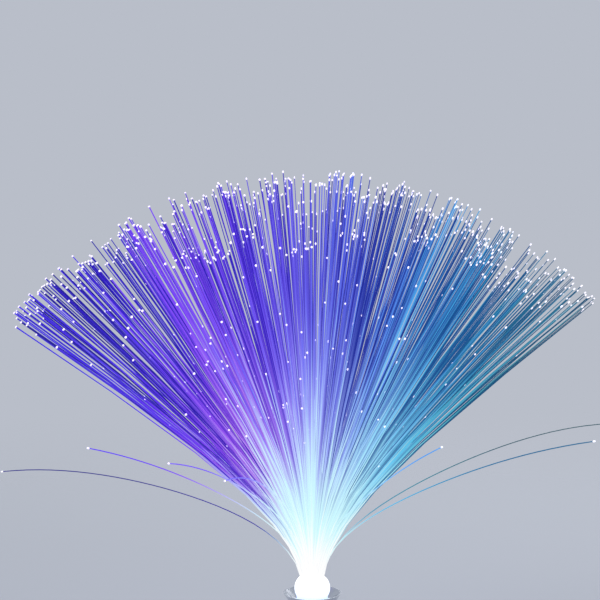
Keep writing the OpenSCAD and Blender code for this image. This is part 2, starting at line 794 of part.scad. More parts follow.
// The door hangs on two pins along its front edge and has grip grooves near the finger notch
module battery_door() {
    groove = [14, 1, 0.5];
    groove_pitch = 3;
    groove_y = 8;
    color("#1b1c20") {
        difference() {
            slab(2 * door_half, hinge_y, door_end, z_door, door_t);
            for (i = [0:2]) translate([0, groove_y + i * groove_pitch, 0])
                slab(groove.x, 0, groove.y, z_door - cut, cut + groove.z);
            translate([0, door_end + notch_r / 3, z_door - cut]) cylinder(r = notch_r, h = cut + door_t / 3);
        }
        translate([-door_half, hinge_y, hinge_z]) rotate([0, 90, 0])
            cylinder(r = door_t / 2, h = 2 * door_half);
        translate([-pin_end, hinge_y, hinge_z]) rotate([0, 90, 0]) cylinder(r = pin_r, h = 2 * pin_end);
    }
}

fiber_core();
fiber_tuft(1);  // fiber_tuft_1
fiber_tuft(2);  // fiber_tuft_2
fiber_tuft(3);  // fiber_tuft_3
fiber_tuft(4);  // fiber_tuft_4
fiber_tuft(5);  // fiber_tuft_5
fiber_tuft(6);  // fiber_tuft_6
stray_fibers();
bundle_root();
sleeve();
ball_collar();
socket_cup();
neck_ring();
socket_nut();
bell_shell();
base_tub();
tub_screws();
rubber_feet();
led_holder();
led_board();
led(90, "#ff5050");  // led_red
led(330, "#60f0a0");  // led_green
led(210, "#5070ff");  // led_blue
driver_chip();
led_resistors();
board_screws();
cell(1);  // cell_1
cell(2);  // cell_2
cell(3);  // cell_3
contact_springs();
contact_plates();
switch_body();
switch_knob();
lead_battery();
lead_switch();
lead_return();
battery_door();
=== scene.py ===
"""Table-top fibre optic lamp: the looks around its packed construction.

A spray of lit acrylic fibres stands in a frosted collar on a flared silver cup. Below the cup are a bell
and a black tub with the battery door and the slide switch, and inside them the light and the cells.
All lengths are metres, +Z is up, and the camera looks along +Y.
"""
import math

import bmesh
import bpy
import numpy as np
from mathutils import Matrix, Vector


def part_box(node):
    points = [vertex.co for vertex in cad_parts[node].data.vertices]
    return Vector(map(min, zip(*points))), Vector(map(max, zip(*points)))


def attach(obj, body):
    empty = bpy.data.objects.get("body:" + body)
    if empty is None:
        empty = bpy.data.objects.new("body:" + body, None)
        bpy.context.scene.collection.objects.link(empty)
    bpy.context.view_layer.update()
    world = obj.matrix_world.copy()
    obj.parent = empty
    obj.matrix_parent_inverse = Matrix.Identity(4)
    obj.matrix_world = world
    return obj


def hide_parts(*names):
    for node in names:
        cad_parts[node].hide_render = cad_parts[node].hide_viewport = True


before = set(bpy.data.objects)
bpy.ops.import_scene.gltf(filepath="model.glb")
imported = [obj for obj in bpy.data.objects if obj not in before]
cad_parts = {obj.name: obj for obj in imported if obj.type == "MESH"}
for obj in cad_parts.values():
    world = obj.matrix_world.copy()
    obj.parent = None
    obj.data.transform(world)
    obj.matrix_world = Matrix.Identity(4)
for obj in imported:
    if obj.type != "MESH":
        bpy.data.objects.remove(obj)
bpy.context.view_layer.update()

MM = 0.001
scene = bpy.context.scene


# ---------- Places, from the frame ----------

NECK_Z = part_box("ball_collar")[1].z
SEAT_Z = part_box("ball_collar")[0].z
BALL_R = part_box("ball_collar")[1].x
BUNDLE_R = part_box("bundle_root")[1].x


# ---------- Camera ----------

PIXEL = 0.47 * MM                 # at the lamp's axis, in the photograph
NECK_PIXEL = (312.5, 578.0)       # where the fibres leave the collar
IMAGE_SIZE = 600
CAMERA_FAR = 0.95
CAMERA_RISE = math.radians(7)
SENSOR_WIDTH = 36.0               # in millimetres, as Blender counts lenses


def aim(thing, place, target):
    """Puts a thing at a place with its -Z towards the target and its +Y up."""
    thing.location = place
    thing.rotation_euler = (Vector(target) - Vector(place)).to_track_quat("-Z", "Y").to_euler()


def make_camera():
    """The photograph's frame: the target is beside and above the neck, so that the neck falls on NECK_PIXEL.
    What is drop under the target is seen drop * cos(rise) / (1 + drop * sin(rise) / far) under it, and that
    is solved for the drop."""
    middle = IMAGE_SIZE / 2
    across = (middle - NECK_PIXEL[0]) * PIXEL
    below = (NECK_PIXEL[1] - middle) * PIXEL
    drop = below / (math.cos(CAMERA_RISE) - below / CAMERA_FAR * math.sin(CAMERA_RISE))
    target = np.array([across, 0, NECK_Z + drop])
    data = bpy.data.cameras.new("camera")
    data.sensor_width = SENSOR_WIDTH
    data.lens = SENSOR_WIDTH * CAMERA_FAR / (IMAGE_SIZE * PIXEL)
    camera = bpy.data.objects.new("camera", data)
    aim(camera, target + CAMERA_FAR * np.array([0, -math.cos(CAMERA_RISE), math.sin(CAMERA_RISE)]), target)
    scene.collection.objects.link(camera)
    scene.camera = camera


make_camera()


# ---------- Material helpers ----------

NOISE_LOW, NOISE_HIGH = 0.3, 0.7   # nearly all of a noise's values lie between these
BROAD_SCALE = 45.0                 # per metre: patches of about 22 mm
SPOT_SCALE = 180.0                 # per metre: patches of about 6 mm


def colour(hex_code):
    """An sRGB hex colour as linear RGBA: a value v becomes v / 12.92 up to 0.04045, and above that
    ((v + 0.055) / 1.055) to the power of 2.4."""
    values = [int(hex_code[i:i + 2], 16) / 255 for i in (1, 3, 5)]
    return [v / 12.92 if v <= 0.04045 else ((v + 0.055) / 1.055) ** 2.4 for v in values] + [1.0]


def add_node(tree, kind, inputs=None, stops=(), **settings):
    """Adds a node with its settings. inputs gives sockets, by name or number, a value or a link, and stops
    gives a colour ramp its (place, hex colour) pairs. Returns the node's outputs."""
    node = tree.nodes.new(kind)
    for key, value in settings.items():
        setattr(node, key, value)
    for count, (place, hex_code) in enumerate(stops):
        while len(node.color_ramp.elements) <= count:
            node.color_ramp.elements.new(1.0)
        node.color_ramp.elements[count].position = place
        node.color_ramp.elements[count].color = colour(hex_code)
    for key, value in (inputs or {}).items():
        if isinstance(value, bpy.types.NodeSocket):
            tree.links.new(value, node.inputs[key])
        else:
            node.inputs[key].default_value = value
    return node.outputs


def new_material(name, **sockets):
    """A material whose one Principled shader has these values. Returns it, its tree and the shader's
    inputs."""
    material = bpy.data.materials.new(name)
    material.use_nodes = True
    shader = material.node_tree.nodes["Principled BSDF"]
    for key, value in sockets.items():
        shader.inputs[key.replace("_", " ")].default_value = value
    return material, material.node_tree, shader.inputs


def moulded(name, light, dark, grain, depth, rough, change=0.1, **sockets):
    """A moulded surface. Fine noise, of a grain size in metres, raises it by up to depth metres. Broad noise
    shifts its roughness by change either way, and both shift its colour between two hex values."""
    material, tree, shader = new_material(name, **sockets)
    coords = add_node(tree, "ShaderNodeTexCoord")["Object"]
    fine = add_node(tree, "ShaderNodeTexNoise", {"Vector": coords, "Scale": 1 / grain, "Detail": 3.0})[0]
    broad = add_node(tree, "ShaderNodeTexNoise", {"Vector": coords, "Scale": BROAD_SCALE, "Detail": 2.0})[0]
    blend = add_node(tree, "ShaderNodeMix", {0: 0.5, 2: fine, 3: broad}, data_type="FLOAT")[0]
    tint = add_node(tree, "ShaderNodeValToRGB", {"Fac": blend}, [(NOISE_LOW, dark), (NOISE_HIGH, light)])[0]
    tree.links.new(tint, shader["Base Color"])
    gloss = add_node(tree, "ShaderNodeMapRange", {"Value": broad, "From Min": NOISE_LOW,
                                                  "From Max": NOISE_HIGH, "To Min": rough - change,
                                                  "To Max": rough + change})[0]
    tree.links.new(gloss, shader["Roughness"])
    bump = add_node(tree, "ShaderNodeBump", {"Height": fine, "Distance": depth, "Strength": 0.6})[0]
    tree.links.new(bump, shader["Normal"])
    return material


# ---------- Lit acrylic fibre ----------
# Clear drawn PMMA leaks light along its side. Near the collar the light is white. Further out each fibre
# keeps what the diodes mix at its place: violet on the left, lilac in the middle and azure on the right.

FAN_SHARE = 0.8                  # sideways share of the outermost fibres, the ends of the colour ramps
TONE_SHIFT = 0.12                # part of a ramp over which the tones of fibres that lie together spread
COUNT_FROM = 4 * MM              # distances are counted from this far under the neck
OUTWARD = (60 * MM, 160 * MM)    # distances from which and to which the near colours turn to the far ones
OUTWARD_LOSS = 0.25              # how much a fibre's tone falls over those
DIM_TONES = (0.5, 0.05)          # tones from which and to which a fibre turns to the dim colours
DIM_MOST = 0.95                  # part of the dim colours in a fibre of the second tone
FULL_TONE = 0.95                 # tones from this up spread the white alike
WHITE_PATHS = (1.3, 0.5)         # path as a part of the distance, in a fibre of no tone and of the full one
SIDE_REACH = 70 * MM             # times the square of the sideways share, this adds to the path
FLAME = (86 * MM, 30 * MM)       # from the first reach inwards to the second the light turns pale
CORE = (34 * MM, 10 * MM)        # from the first path inwards to the second it turns white
BODY_DARK = 0.85                 # part of near black in a fibre's own colour, so that daylight adds little
TIP_WHITE = 0.68                 # part of white in a tip's light
NEAR_LIGHT = [(0.02, "#4a28ec"), (0.12, "#6236f2"), (0.20, "#9c54ee"), (0.30, "#c078f2"), (0.40, "#ac8cfc"),
              (0.50, "#aeb0ff"), (0.60, "#9cb4ff"), (0.71, "#a2e6ff"), (0.81, "#6cd0fa"), (0.93, "#42b4bc")]
FAR_LIGHT = [(0.02, "#2c12c8"), (0.10, "#3c1ee2"), (0.20, "#5634f4"), (0.30, "#844af6"), (0.40, "#6c4af4"),
             (0.50, "#6c60f2"), (0.60, "#586cee"), (0.71, "#4ea8f6"), (0.81, "#3ca8dc"), (0.95, "#488896")]
DIM_LIGHT = [(0.02, "#0c0480"), (0.20, "#1c08b0"), (0.38, "#2a0eba"), (0.50, "#1a169c"), (0.62, "#0c2c90"),
             (0.80, "#08528a"), (0.95, "#144a58")]


def fibre_colour(tree):
    """Colour of the light in a fibre, by how far the place is from the neck and by its sideways share, x as a
    part of that distance. A fibre of a low tone is dimmer, and more of them are dim further out. In one of a
    high tone the white from the neck reaches further: the path is the distance times a loss that falls with
    the tone, and the reach is the path plus SIDE_REACH times the square of the share."""
    coords = add_node(tree, "ShaderNodeTexCoord")["Object"]
    tone = add_node(tree, "ShaderNodeAttribute", attribute_name="tone")["Fac"]
    offset = add_node(tree, "ShaderNodeVectorMath", {0: coords, 1: (0, 0, NECK_Z - COUNT_FROM)},
                      operation="SUBTRACT")[0]
    distance = add_node(tree, "ShaderNodeVectorMath", {0: offset}, operation="LENGTH")["Value"]
    x = add_node(tree, "ShaderNodeSeparateXYZ", {0: offset})["X"]
    share = add_node(tree, "ShaderNodeMath", {0: x, 1: distance}, operation="DIVIDE")[0]
    across = add_node(tree, "ShaderNodeMapRange", {"Value": share, "From Min": -FAN_SHARE,
                                                   "From Max": FAN_SHARE})[0]
    shifted = add_node(tree, "ShaderNodeMath", {0: tone, 1: TONE_SHIFT, 2: across},
                       operation="MULTIPLY_ADD")[0]
    place = add_node(tree, "ShaderNodeMath", {0: shifted, 1: TONE_SHIFT / 2}, operation="SUBTRACT")[0]
    near = add_node(tree, "ShaderNodeValToRGB", {"Fac": place}, NEAR_LIGHT)[0]
    far = add_node(tree, "ShaderNodeValToRGB", {"Fac": place}, FAR_LIGHT)[0]
    dim = add_node(tree, "ShaderNodeValToRGB", {"Fac": place}, DIM_LIGHT)[0]
    outward = add_node(tree, "ShaderNodeMapRange", {"Value": distance, "From Min": OUTWARD[0],
                                                    "From Max": OUTWARD[1]},
                       interpolation_type="SMOOTHSTEP")[0]
    lit = add_node(tree, "ShaderNodeMix", {0: outward, 6: near, 7: far}, data_type="RGBA")[2]
    level = add_node(tree, "ShaderNodeMath", {0: outward, 1: -OUTWARD_LOSS, 2: tone},
                     operation="MULTIPLY_ADD")[0]
    dimness = add_node(tree, "ShaderNodeMapRange", {"Value": level, "From Min": DIM_TONES[0],
                                                    "From Max": DIM_TONES[1], "To Max": DIM_MOST})[0]
    side = add_node(tree, "ShaderNodeMix", {0: dimness, 6: lit, 7: dim}, data_type="RGBA")[2]
    square = add_node(tree, "ShaderNodeMath", {0: share, 1: share}, operation="MULTIPLY")[0]
    loss = add_node(tree, "ShaderNodeMapRange", {"Value": tone, "From Max": FULL_TONE,
                                                 "To Min": WHITE_PATHS[0], "To Max": WHITE_PATHS[1]})[0]
    path = add_node(tree, "ShaderNodeMath", {0: distance, 1: loss}, operation="MULTIPLY")[0]
    reach = add_node(tree, "ShaderNodeMath", {0: square, 1: SIDE_REACH, 2: path},
                     operation="MULTIPLY_ADD")[0]
    flame = add_node(tree, "ShaderNodeMapRange", {"Value": reach, "From Min": FLAME[0], "From Max": FLAME[1]},
                     interpolation_type="SMOOTHSTEP")[0]
    pale = add_node(tree, "ShaderNodeMix", {0: flame, 6: side, 7: colour("#d2fbff")}, data_type="RGBA")[2]
    core = add_node(tree, "ShaderNodeMapRange", {"Value": path, "From Min": CORE[0], "From Max": CORE[1]},
                    interpolation_type="SMOOTHSTEP")[0]
    return add_node(tree, "ShaderNodeMix", {0: core, 6: pale, 7: colour("#ffffff")}, data_type="RGBA")[2]


def lit_fibre():
    """Drawn PMMA: smooth, with a thin gloss, and most of what is seen is its own light."""
    material, tree, shader = new_material("drawn_pmma_fibre_lit", Roughness=0.3, IOR=1.49,
                                          Specular_IOR_Level=0.3, Emission_Strength=0.85)
    light = fibre_colour(tree)
    body = add_node(tree, "ShaderNodeMix", {0: BODY_DARK, 6: light, 7: colour("#0c0c14")},
                    data_type="RGBA")[2]
    tree.links.new(body, shader["Base Color"])
    tree.links.new(light, shader["Emission Color"])
    return material


def lit_tip():
    """The hot-cut end of a fibre, a small lens: nearly all of the light leaves here, so it looks white."""
    material, tree, shader = new_material("hot_cut_pmma_tip_lit", Roughness=0.15, IOR=1.49,
                                          Emission_Strength=1.0)
    light = fibre_colour(tree)
    white = add_node(tree, "ShaderNodeMix", {0: TIP_WHITE, 6: light, 7: colour("#fff6ff")},
                     data_type="RGBA")[2]
    tree.links.new(white, shader["Base Color"])
    tree.links.new(white, shader["Emission Color"])
    return material


FIBRE = lit_fibre()
TIP = lit_tip()


# ---------- Materials of the other pieces ----------

def frosted_collar():
    """Frosted acrylic over the bundle: it glows evenly, white above and faintly blue in its lower half."""
    material, tree, shader = new_material("frosted_acrylic_lit", Roughness=0.55, IOR=1.49,
                                          Emission_Strength=0.85)
    coords = add_node(tree, "ShaderNodeTexCoord")["Object"]
    z = add_node(tree, "ShaderNodeSeparateXYZ", {0: coords})["Z"]
    height = add_node(tree, "ShaderNodeMapRange", {"Value": z, "From Min": SEAT_Z, "From Max": NECK_Z})[0]
    glow = add_node(tree, "ShaderNodeValToRGB", {"Fac": height},
                    [(0.0, "#a9b8ff"), (0.3, "#d9e6ff"), (0.6, "#f6fcff"), (1.0, "#ffffff")])[0]
    tree.links.new(glow, shader["Base Color"])
    tree.links.new(glow, shader["Emission Color"])
    frost = add_node(tree, "ShaderNodeTexNoise", {"Vector": coords, "Scale": 1 / (0.6 * MM),
                                                  "Detail": 2.0})[0]
    bump = add_node(tree, "ShaderNodeBump", {"Height": frost, "Distance": 0.05 * MM, "Strength": 0.5})[0]
    tree.links.new(bump, shader["Normal"])
    return material


def polished_bundle():
    """Fibres potted in clear resin: the polished face shows each one as a bright round, here a Voronoi cell
    of one fibre's width, in the darker resin between them."""
    material, tree, shader = new_material("potted_pmma_bundle", Roughness=0.12, IOR=1.5,
                                          Emission_Strength=0.35)
    coords = add_node(tree, "ShaderNodeTexCoord")["Object"]
    flat = add_node(tree, "ShaderNodeVectorMath", {0: coords, 1: (1, 1, 0)}, operation="MULTIPLY")[0]
    cell = add_node(tree, "ShaderNodeTexVoronoi", {"Vector": flat, "Scale": 1 / (0.48 * MM),
                                                   "Randomness": 0.45})["Distance"]
    face = add_node(tree, "ShaderNodeValToRGB", {"Fac": cell},
                    [(0.0, "#f4fbff"), (0.36, "#dcebf7"), (0.46, "#7f8b99"), (1.0, "#59626e")])[0]
    tree.links.new(face, shader["Base Color"])
    tree.links.new(face, shader["Emission Color"])
    return material


def turned_metal(name, light, dark, pitch, rough, change=0.05):
    """Metal with turned rings about Z, pitch metres apart, which draw the highlight out into a streak. Noise
    in spots shifts its colour between two hex values and its roughness by change either way."""
    material, tree, shader = new_material(name, Metallic=1.0)
    coords = add_node(tree, "ShaderNodeTexCoord")["Object"]
    rings = add_node(tree, "ShaderNodeTexWave", {"Vector": coords, "Scale": math.tau / (20 * pitch),
                                                 "Distortion": 1.5, "Detail": 2.0}, bands_direction="Z")[1]
    spots = add_node(tree, "ShaderNodeTexNoise", {"Vector": coords, "Scale": SPOT_SCALE, "Detail": 3.0})[0]
    tint = add_node(tree, "ShaderNodeValToRGB", {"Fac": spots}, [(0.35, dark), (0.65, light)])[0]
    tree.links.new(tint, shader["Base Color"])
    gloss = add_node(tree, "ShaderNodeMapRange", {"Value": spots, "From Min": NOISE_LOW,
                                                  "From Max": NOISE_HIGH, "To Min": rough - change,
                                                  "To Max": rough + change})[0]
    tree.links.new(gloss, shader["Roughness"])
    bump = add_node(tree, "ShaderNodeBump", {"Height": rings, "Distance": 0.01 * MM, "Strength": 0.4})[0]
    tree.links.new(bump, shader["Normal"])
    return material


BOARD_CELL = 9 * MM
TRACK_STEP = 0.145               # in cells, so 1.3 mm from one track to the next
TRACK_EDGE = (0.085, 0.095)      # in cells, where a track starts in each step


def circuit_board():
    """Glass-fibre board with a green mask. The copper tracks under it show as lighter bands: the last part of
    each TRACK_STEP of the distance to the nearest Voronoi point, measured squarely."""
    material, tree, shader = new_material("masked_glass_fibre_board", Roughness=0.32, IOR=1.52)
    coords = add_node(tree, "ShaderNodeTexCoord")["Object"]
    square_distance = add_node(tree, "ShaderNodeTexVoronoi", {"Vector": coords, "Scale": 1 / BOARD_CELL},
                               distance="CHEBYCHEV")["Distance"]
    wrapped = add_node(tree, "ShaderNodeMath", {0: square_distance, 1: TRACK_STEP, 2: 0.0},
                       operation="WRAP")[0]
    track = add_node(tree, "ShaderNodeMapRange", {"Value": wrapped, "From Min": TRACK_EDGE[0],
                                                  "From Max": TRACK_EDGE[1]})[0]
    tint = add_node(tree, "ShaderNodeMix", {0: track, 6: colour("#155a35"), 7: colour("#2b8a52")},
                    data_type="RGBA")[2]
    tree.links.new(tint, shader["Base Color"])
    bump = add_node(tree, "ShaderNodeBump", {"Height": track, "Distance": 0.035 * MM, "Strength": 0.6})[0]
    tree.links.new(bump, shader["Normal"])
    return material


def diode_epoxy(name, deep, glow):
    """Tinted clear epoxy with a lit chip: brightest in the top of the dome, deeper in the flange."""
    material, tree, shader = new_material(name, Roughness=0.08, IOR=1.54, Emission_Strength=1.0)
    coords = add_node(tree, "ShaderNodeTexCoord")["Object"]
    z = add_node(tree, "ShaderNodeSeparateXYZ", {0: coords})["Z"]
    low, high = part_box("led_red")[0].z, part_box("led_red")[1].z
    height = add_node(tree, "ShaderNodeMapRange", {"Value": z, "From Min": low, "From Max": high})[0]
    light = add_node(tree, "ShaderNodeValToRGB", {"Fac": height},
                     [(0.1, deep), (0.6, glow), (1.0, "#ffffff")])[0]
    tree.links.new(light, shader["Emission Color"])
    tree.links.new(light, shader["Base Color"])
    return material


# Vacuum-plated ABS: a bright mirror, a little softened by the moulding under it
PLATED = moulded("silver_plated_abs", "#d2d6dc", "#cdd1d8", 1.4 * MM, 0.003 * MM, 0.2, 0.02, Metallic=1.0)
# Spark-textured ABS: its grain breaks the highlight up into a soft sheen
BLACK_ABS = moulded("spark_textured_black_abs", "#191a1e", "#131418", 0.45 * MM, 0.06 * MM, 0.5, 0.04,
                    IOR=1.54)
# ABS from a polished mould: a sharp highlight on black
GLOSS_BLACK = moulded("polished_black_abs", "#17181c", "#0c0d10", 1.5 * MM, 0.01 * MM, 0.16, IOR=1.54)
# Plain mouldings inside the base: off-white and half matt; the knob, which fingers touch, is glossier
WHITE_ABS = moulded("moulded_white_abs", "#f1f0ea", "#e4e2da", 0.8 * MM, 0.02 * MM, 0.42, IOR=1.54)
KNOB_ABS = moulded("polished_white_abs", "#f5f5f6", "#e9eaec", 0.8 * MM, 0.01 * MM, 0.25, IOR=1.54)
# Moulded rubber: dull, with hardly any highlight
RUBBER = moulded("soft_black_rubber", "#29292b", "#1b1b1d", 0.5 * MM, 0.05 * MM, 0.75, IOR=1.52)
# Filled epoxy round a chip: dark grey and finely grained
CHIP_EPOXY = moulded("moulded_epoxy_chip", "#28292c", "#17181a", 0.2 * MM, 0.02 * MM, 0.5, IOR=1.6)
# Glazed ceramic of the film resistors: slate blue with a thin gloss
CERAMIC = moulded("film_resistor_ceramic", "#3f4c66", "#2c374d", 0.4 * MM, 0.01 * MM, 0.3, IOR=1.7)
# PVC film shrunk on the cells: smooth and glossy, with slow waves
JACKET = moulded("shrunk_pvc_cell_jacket", "#35607a", "#2b526a", 2.0 * MM, 0.01 * MM, 0.28, IOR=1.53)
END_BAND = moulded("shrunk_pvc_cell_end_band", "#b9bec4", "#a7adb4", 2.0 * MM, 0.01 * MM, 0.28, IOR=1.53)
# Zinc-plated screws: bluish grey and cloudy. Nickel-plated springs and plates: brighter and warmer
ZINC = turned_metal("zinc_plated_steel", "#c3c6ca", "#9fa4ab", 0.3 * MM, 0.32)
NICKEL = turned_metal("nickel_plated_steel", "#d6d7d6", "#b9bbbd", 0.25 * MM, 0.2)
# Turned aluminium tube: even, with a satin streak along it
SLEEVE_ALU = turned_metal("satin_aluminium_tube", "#ced1d4", "#c5c8cc", 0.35 * MM, 0.28, 0.02)
COLLAR = frosted_collar()
# Extruded lead insulation: smooth, with the soft gloss of PVC
PVC = {
    "lead_red": moulded("red_pvc_insulation", "#c62222", "#a91a1a", 0.8 * MM, 0.01 * MM, 0.35, IOR=1.53),
    "lead_orange": moulded("orange_pvc_insulation", "#dd8a1c", "#c47512", 0.8 * MM, 0.01 * MM, 0.35,
                           IOR=1.53),
    "lead_black": moulded("black_pvc_insulation", "#202022", "#141415", 0.8 * MM, 0.01 * MM, 0.35, IOR=1.53),
}


def dress(finish, *nodes):
    """Gives CAD nodes that keep their shape a finish in every material slot."""
    for name in nodes:
        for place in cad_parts[name].material_slots:
            place.material = finish


dress(PLATED, "socket_cup", "bell_shell")
dress(BLACK_ABS, "base_tub", "battery_door")
dress(GLOSS_BLACK, "neck_ring")
dress(WHITE_ABS, "socket_nut", "led_holder")
dress(KNOB_ABS, "switch_knob")
dress(RUBBER, "rubber_feet")
dress(CHIP_EPOXY, "driver_chip")
dress(CERAMIC, "led_resistors")
dress(ZINC, "tub_screws", "board_screws")
dress(NICKEL, "contact_plates", "switch_body")
dress(SLEEVE_ALU, "sleeve")
dress(polished_bundle(), "bundle_root")
dress(circuit_board(), "led_board")
dress(diode_epoxy("red_diode_epoxy", "#b01818", "#ff5a5a"), "led_red")
dress(diode_epoxy("green_diode_epoxy", "#12904a", "#5dffa6"), "led_green")
dress(diode_epoxy("blue_diode_epoxy", "#1830c0", "#5a78ff"), "led_blue")


# ---------- Mesh helpers ----------

WELD = 1e-6                      # points closer than this are one
MOST_CUT_BACK = 0.45             # part of its shorter side that an arc may use at a corner


def put_piece(name, points, faces, finishes, body, nodes=(), indices=None, sharp=None):
    """A smooth mesh piece at the origin that rides on a body and stands for CAD nodes. indices gives each
    face's finish, and edges that turn by more than sharp stay sharp."""
    mesh = bpy.data.meshes.new(name)
    mesh.from_pydata(np.asarray(points).tolist(), [], [list(face) for face in faces])
    mesh.shade_smooth()
    for finish in finishes:
        mesh.materials.append(finish)
    if indices is not None:
        mesh.polygons.foreach_set("material_index", np.asarray(indices, dtype=np.int32))
    if sharp is not None:
        mesh.set_sharp_from_angle(angle=sharp)
    piece = bpy.data.objects.new(name, mesh)
    scene.collection.objects.link(piece)
    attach(piece, body)
    if nodes:
        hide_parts(*nodes)
    return piece


def weld(piece):
    """Merges points that fall together, such as a pole's, and turns all faces outwards."""
    work = bmesh.new()
    work.from_mesh(piece.data)
    bmesh.ops.remove_doubles(work, verts=work.verts, dist=WELD)
    bmesh.ops.dissolve_degenerate(work, edges=work.edges, dist=WELD / 10)
    bmesh.ops.recalc_face_normals(work, faces=work.faces)
    work.to_mesh(piece.data)
    work.free()


def grid_faces(rows, columns, close_rows=False):
    """Quads between neighbouring rows of a grid whose columns close on themselves."""
    i, j = np.meshgrid(np.arange(rows if close_rows else rows - 1), np.arange(columns), indexing="ij")
    low, high = i * columns, (i + 1) % rows * columns
    k = (j + 1) % columns
    return np.stack([low + j, low + k, high + k, high + j], axis=2).reshape(-1, 4)


def rounded(corners, radii, steps=6):
    """An outline with an arc in place of each corner whose radius isn't 0. The arc starts and ends
    radius * tan(turn / 2) from the corner, and is the quadratic blend of start, corner and end."""
    corners = np.asarray(corners, dtype=float)
    back = np.roll(corners, 1, axis=0) - corners
    ahead = np.roll(corners, -1, axis=0) - corners
    outline = []
    for corner, before, after, radius in zip(corners, back, ahead, radii):
        if radius == 0:
            outline.append(corner[None])
            continue
        lengths = np.linalg.norm(before), np.linalg.norm(after)
        before, after = before / lengths[0], after / lengths[1]
        turn = math.pi - math.acos(np.clip(before @ after, -1, 1))
        cut = min(radius * math.tan(turn / 2), MOST_CUT_BACK * min(lengths))
        t = np.linspace(0, 1, steps)[:, None]
        outline.append((1 - t) ** 2 * (corner + before * cut) + 2 * t * (1 - t) * corner
                       + t ** 2 * (corner + after * cut))
    return np.concatenate(outline)


def revolved(outline, turns=128):
    """A closed (r, z) outline carried round Z, anticlockwise as seen with r to the right and z up."""
    angle = np.arange(turns) * 2 * math.pi / turns
    r, z = outline[:, :1], outline[:, 1:]
    points = np.stack([r * np.cos(angle), r * np.sin(angle), z + 0 * angle], axis=2).reshape(-1, 3)
    return points, grid_faces(len(outline), turns, close_rows=True)


def smooth_route(route, per_span=8):
    """Points on a curve through all of a route's points: cubic spans whose slope at a point is half the step
    from the point before it to the point after it."""
    p = np.asarray(route, dtype=float)
    padded = np.concatenate([p[:1], p, p[-1:]])
    a, b, c, d = (each[:, None] for each in (padded[:-3], padded[1:-2], padded[2:-1], padded[3:]))
    f = np.linspace(0, 1, per_span, endpoint=False)[None, :, None]
    spans = 0.5 * (2 * b + (c - a) * f + (2 * a - 5 * b + 4 * c - d) * f ** 2
                   + (3 * b - a - 3 * c + d) * f ** 3)
    return np.concatenate([spans.reshape(-1, 3), p[-1:]])


def frames_along(path):
    """Two unit vectors square to a path at each of its points, carried along it with the least turning."""
    along = np.gradient(path, axis=0)
    along /= np.linalg.norm(along, axis=1, keepdims=True)
    side = np.empty_like(along)
    # Any direction well apart from the path's first one serves to start with
    first = np.cross(along[0], (0.2, 1.0, 0.1) if abs(along[0, 1]) < 0.9 else (1.0, 0.2, 0.1))
    side[0] = first / np.linalg.norm(first)
    for i in range(1, len(path)):
        turned = side[i - 1] - along[i] * (side[i - 1] @ along[i])
        side[i] = turned / np.linalg.norm(turned)
    return side, np.cross(along, side)


def round_tube(path, radius, sides):
    """A tube of a round section carried along a path, with closed ends: a point is the path's plus
    radius * (side * cos(q) + up * sin(q))."""
    side, up = frames_along(path)
    q = np.arange(sides)[None, :, None] * 2 * math.pi / sides
    points = (path[:, None] + radius * (side[:, None] * np.cos(q) + up[:, None] * np.sin(q))).reshape(-1, 3)
    faces = grid_faces(len(path), sides).tolist()
    last = (len(path) - 1) * sides
    faces.append(list(range(sides))[::-1])
    faces.append(list(range(last, last + sides)))
    return points, faces


# ---------- Fibres ----------
# The first fibres have the solid strands' places, clumps and cuts, on a slower bend, as in the photograph.
# The extra ones stand between them and fill the same clumps.

FIBRE_COUNT = 330                # strands of the solids
CORE_COUNT = 48
EXTRA_COUNT = 820
EXTRA_DEPTH = 0.6                # the extra ones' spread from front to back, as a part of that across
EXTRA_TURN = math.radians(70)    # of their sunflower against that of the first ones
CLUMPS = 92
CLUMP_REACH = 0.985              # size of the clumps' sunflower against the fibres'
CLUMP_PULL = 0.6                 # part of the way to its clump's middle that one of the first is drawn
EXTRA_PULL = (0.1, 0.9)          # the least and the most for an extra one
CLUMP_LEN = 45 * MM              # length over which the clumps draw together
SHORT_SHARE = 0.1                # of the first ones
EXTRA_SHORT_SHARE = 0.2
SHORT_CUT = 0.6                  # most of its length that a short one loses, and half of that is the least
UNEVEN_CUT = 0.32                # most that another one of the first loses
CLUMP_CUT = 0.15                 # most that an extra one loses with its whole clump,
OWN_CUT = 0.05                   # and most by itself on top of that
LEAST_CUT = 0.002
SIDE_CUT = 0.03                  # lost by the fibres furthest left and right
CLUMP_TONE = 0.6                 # a clump's and
OWN_TONE = 0.55                  # a fibre's own part in its tone
BRIGHT_SHARE = 0.15              # of the clumps, which have a higher tone
BRIGHT_TONE = 0.5
EXTRA_TONE = (0.3, 0.9)          # parts of its tone left to the least drawn extra one and to the most drawn
RIGHT_DIM = 0.4                  # part of their tone lost by the fibres furthest right
SPRAY_LEN = 194.95 * MM          # a hair under the solids', to stay in their box
LEAN = 53.0                      # of the outermost fibres from upright, in degrees
LEAN_LEFT = 3.0                  # more on the left, and less on the right
STRAY_LEAN = 8.0                 # beyond that, of the least leaning stray fibre
DROOP = 2.0                      # how far a tip hangs over, in degrees
EXTRA_DROOP = 4.0                # the most for an extra one
BEND_LEN = 30 * MM               # length in which all but 1 / e of the bend is done
STRAY_BEND = 22 * MM
NECK_SHARE = 0.2                 # part of its full lean that a fibre has where it leaves the collar
GOLDEN_ANGLE = math.radians(137.508)
ROOT_REACH = BUNDLE_R - 0.77 * MM                  # of the outermost fibres, from the bundle's middle
STRAY_PLACE = BUNDLE_R - 0.31 * MM                 # of the stray ones, which stand round them
